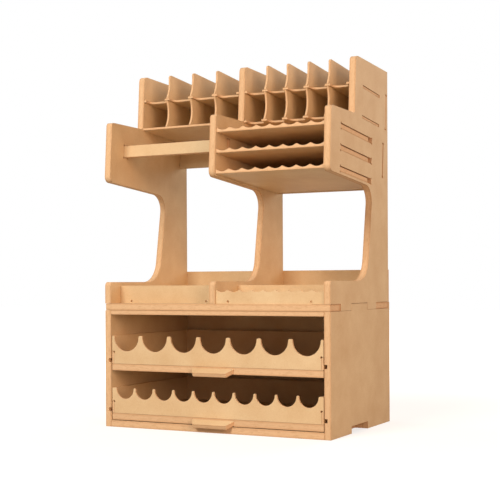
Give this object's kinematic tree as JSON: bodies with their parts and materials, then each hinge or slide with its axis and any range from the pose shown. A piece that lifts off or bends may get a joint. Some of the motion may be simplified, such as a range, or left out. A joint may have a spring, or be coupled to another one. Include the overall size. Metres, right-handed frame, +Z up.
{
  "type": "hobby workstation organizer",
  "caption": "Slotted MDF desk organizer: a drawer cabinet with scalloped drawer fronts under a lift-off rack with uprights, fluted pen shelves, a tool rail and small compartments.",
  "frame": {"origin": "on the floor, under the middle of the whole organizer's box", "axes": "+Z up, +X to the right and +Y to the back as the user faces it; the drawers open towards -Y"},
  "size_m": [0.33, 0.2214, 0.4868],
  "materials": {
    "mdf_9mm": "raw MDF, 9 mm, smooth faces and matt cut edges",
    "mdf_6mm": "raw MDF, 6 mm",
    "mdf_3mm": "raw MDF, 3 mm"
  },
  "bodies": {
    "cabinet": {"cabinet_back": "mdf_3mm", "cabinet_bottom": "mdf_9mm", "cabinet_side_left": "mdf_9mm", "cabinet_side_right": "mdf_9mm", "cabinet_top": "mdf_6mm"},
    "lower_drawer": {"lower_drawer_back": "mdf_3mm", "lower_drawer_board": "mdf_9mm", "lower_drawer_front": "mdf_3mm", "lower_drawer_pull": "mdf_6mm", "lower_drawer_runner_left": "mdf_3mm", "lower_drawer_runner_right": "mdf_3mm", "lower_drawer_side_left": "mdf_3mm", "lower_drawer_side_right": "mdf_3mm"},
    "upper_drawer": {"upper_drawer_back": "mdf_3mm", "upper_drawer_board": "mdf_9mm", "upper_drawer_front": "mdf_3mm", "upper_drawer_pull": "mdf_6mm", "upper_drawer_runner_left": "mdf_3mm", "upper_drawer_runner_right": "mdf_3mm", "upper_drawer_side_left": "mdf_3mm", "upper_drawer_side_right": "mdf_3mm"},
    "rack": {"back_panel_cells_left": "mdf_3mm", "back_panel_cells_right": "mdf_3mm", "back_panel_pens": "mdf_3mm", "back_panel_tools": "mdf_3mm", "back_strip": "mdf_3mm", "base_board": "mdf_9mm", "cell_divider_left_1": "mdf_3mm", "cell_divider_left_2": "mdf_3mm", "cell_divider_left_3": "mdf_3mm", "cell_divider_right_1": "mdf_3mm", "cell_divider_right_2": "mdf_3mm", "cell_divider_right_3": "mdf_3mm", "cell_divider_right_4": "mdf_3mm", "cell_shelf_lower_left": "mdf_3mm", "cell_shelf_lower_right": "mdf_3mm", "cell_shelf_upper_left": "mdf_3mm", "cell_shelf_upper_right": "mdf_3mm", "panel_left": "mdf_9mm", "panel_middle": "mdf_9mm", "panel_right": "mdf_9mm", "pen_shelf_lower": "mdf_6mm", "pen_shelf_middle": "mdf_6mm", "pen_shelf_upper": "mdf_6mm", "tool_rail": "mdf_9mm", "tray_comb": "mdf_3mm", "tray_wall_left": "mdf_3mm", "tray_wall_right": "mdf_3mm"}
  },
  "joints": [
    {"name": "lower_drawer_slide", "type": "slide", "parent": "cabinet", "child": "lower_drawer", "axis": [0, -1, 0], "range_m": [0, 0.15]},
    {"name": "upper_drawer_slide", "type": "slide", "parent": "cabinet", "child": "upper_drawer", "axis": [0, -1, 0], "range_m": [0, 0.15]},
    {"name": "rack_lift", "type": "slide", "parent": "cabinet", "child": "rack", "axis": [0, 0, 1], "range_m": [0, 0.03]}
  ]
}
